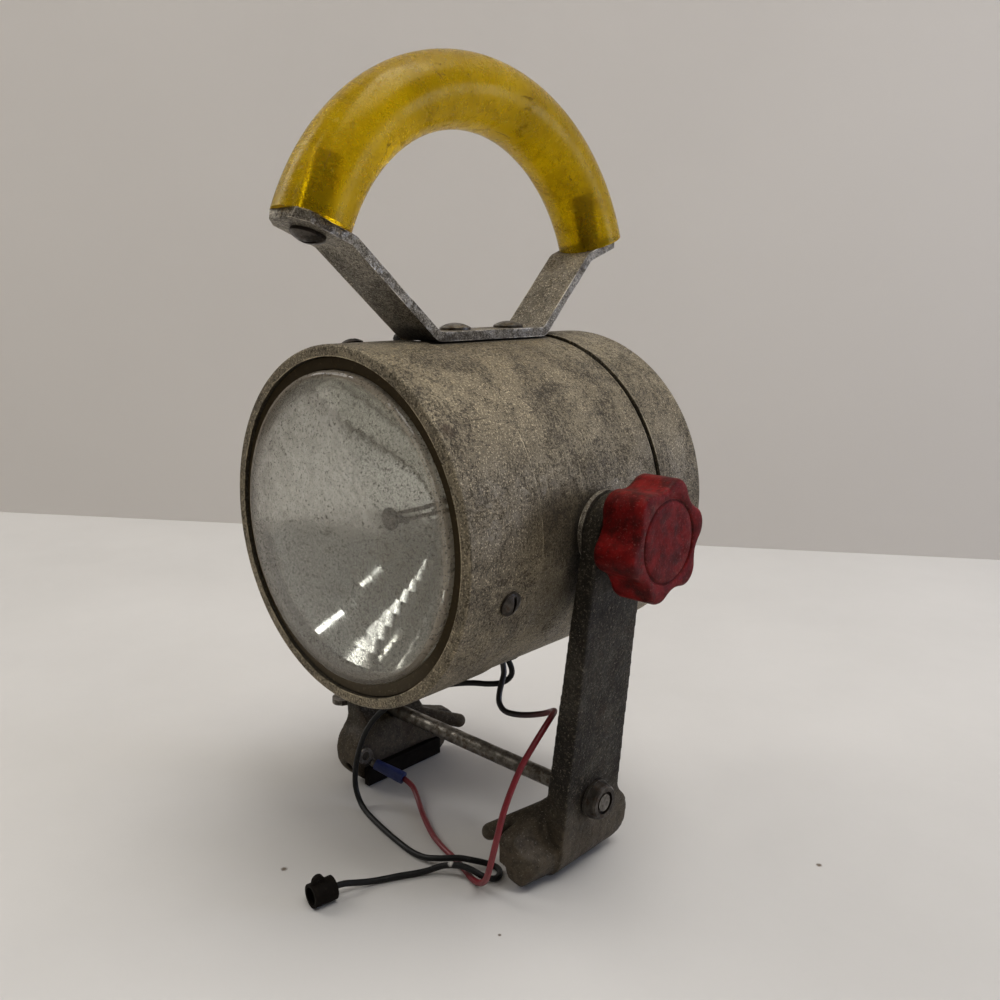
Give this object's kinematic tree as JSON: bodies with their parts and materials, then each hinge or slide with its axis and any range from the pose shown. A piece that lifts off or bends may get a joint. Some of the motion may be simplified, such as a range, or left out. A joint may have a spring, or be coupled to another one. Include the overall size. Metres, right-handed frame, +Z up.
{
  "type": "railroad lantern",
  "caption": "Hand lantern: drum lamp head with carrying handle, tilting on a two-legged clamp bracket with a lobed clamp knob and a wing-nut tie rod.",
  "frame": {"origin": "centre of the lantern's footprint box at floor level, under the middle of the drum", "axes": "+Z up, +X toward the clamp knob along the tilt axis, -Y toward the lens"},
  "size_m": [0.1733, 0.1627, 0.2798],
  "materials": {
    "weathered_alu": "weathered cast aluminium, dull and stained",
    "strap_alu": "worn bar aluminium, satin",
    "lens_glass": "clear, dusty",
    "reflector": "aluminised, aged",
    "dark_rubber": "matte, aged",
    "grip_amber": "translucent amber, scratched",
    "steel": "dull, worn",
    "dark_steel": "oxidised",
    "brass": "tarnished",
    "knob_red": "dusty, edges worn light",
    "dark_casting": "rough cast, grey-brown",
    "red_cover": "satin",
    "black_cover": "satin",
    "blue_sleeve": "satin",
    "black_plastic": "matte"
  },
  "bodies": {
    "bracket": {"right_leg": "dark_casting", "left_leg": "dark_casting", "jaw_pads": "dark_rubber", "tie_rod": "steel", "rod_nut": "dark_steel", "rod_washers": "steel", "red_lead": "red_cover", "black_lead": "black_cover", "lead_barrel": "blue_sleeve", "lead_terminal": "steel", "lead_end_cap": "dark_rubber"},
    "head": {"drum_body": "weathered_alu", "bezel_ring": "weathered_alu", "bezel_screws": "dark_steel", "lens_gasket": "dark_rubber", "lamp_lens": "lens_glass", "lamp_reflector": "reflector", "filament_posts": "steel", "lamp_filament": "dark_steel", "lamp_terminals": "brass", "rear_cap": "weathered_alu", "cap_seal": "dark_rubber", "handle_strap": "strap_alu", "strap_screws": "steel", "strap_nuts": "steel", "handle_grip": "grip_amber", "grip_inserts": "dark_steel", "grip_screws": "dark_steel", "switch_body": "black_plastic", "switch_nut": "steel", "pivot_bosses": "weathered_alu", "pivot_studs": "steel", "pivot_washers": "strap_alu", "left_pivot_nut": "steel", "lead_grommet": "dark_rubber", "inner_wires": "black_cover"},
    "knob": {"clamp_knob": "knob_red", "knob_insert": "brass"},
    "wing_nut": {"wing_nut": "steel"},
    "switch_button": {"switch_button": "black_plastic"}
  },
  "joints": [
    {"name": "head_tilt", "type": "hinge", "parent": "bracket", "child": "head", "pos_m": [0, -0.0017, 0.1255], "axis": [1, 0, 0], "range_deg": [-45, 38], "deforming": ["red_lead", "black_lead"]},
    {"name": "knob_turn", "type": "hinge", "parent": "head", "child": "knob", "pos_m": [0.0795, -0.0017, 0.1255], "axis": [1, 0, 0], "range_deg": [0, 540]},
    {"name": "wing_nut_turn", "type": "hinge", "parent": "bracket", "child": "wing_nut", "pos_m": [-0.07, -0.0017, 0.028], "axis": [1, 0, 0], "continuous": true},
    {"name": "switch_press", "type": "slide", "parent": "head", "child": "switch_button", "axis": [0.2756, 0, -0.9613], "range_m": [0, 0.0016], "stiffness_N_per_m": 600, "springref_m": -0.001}
  ]
}
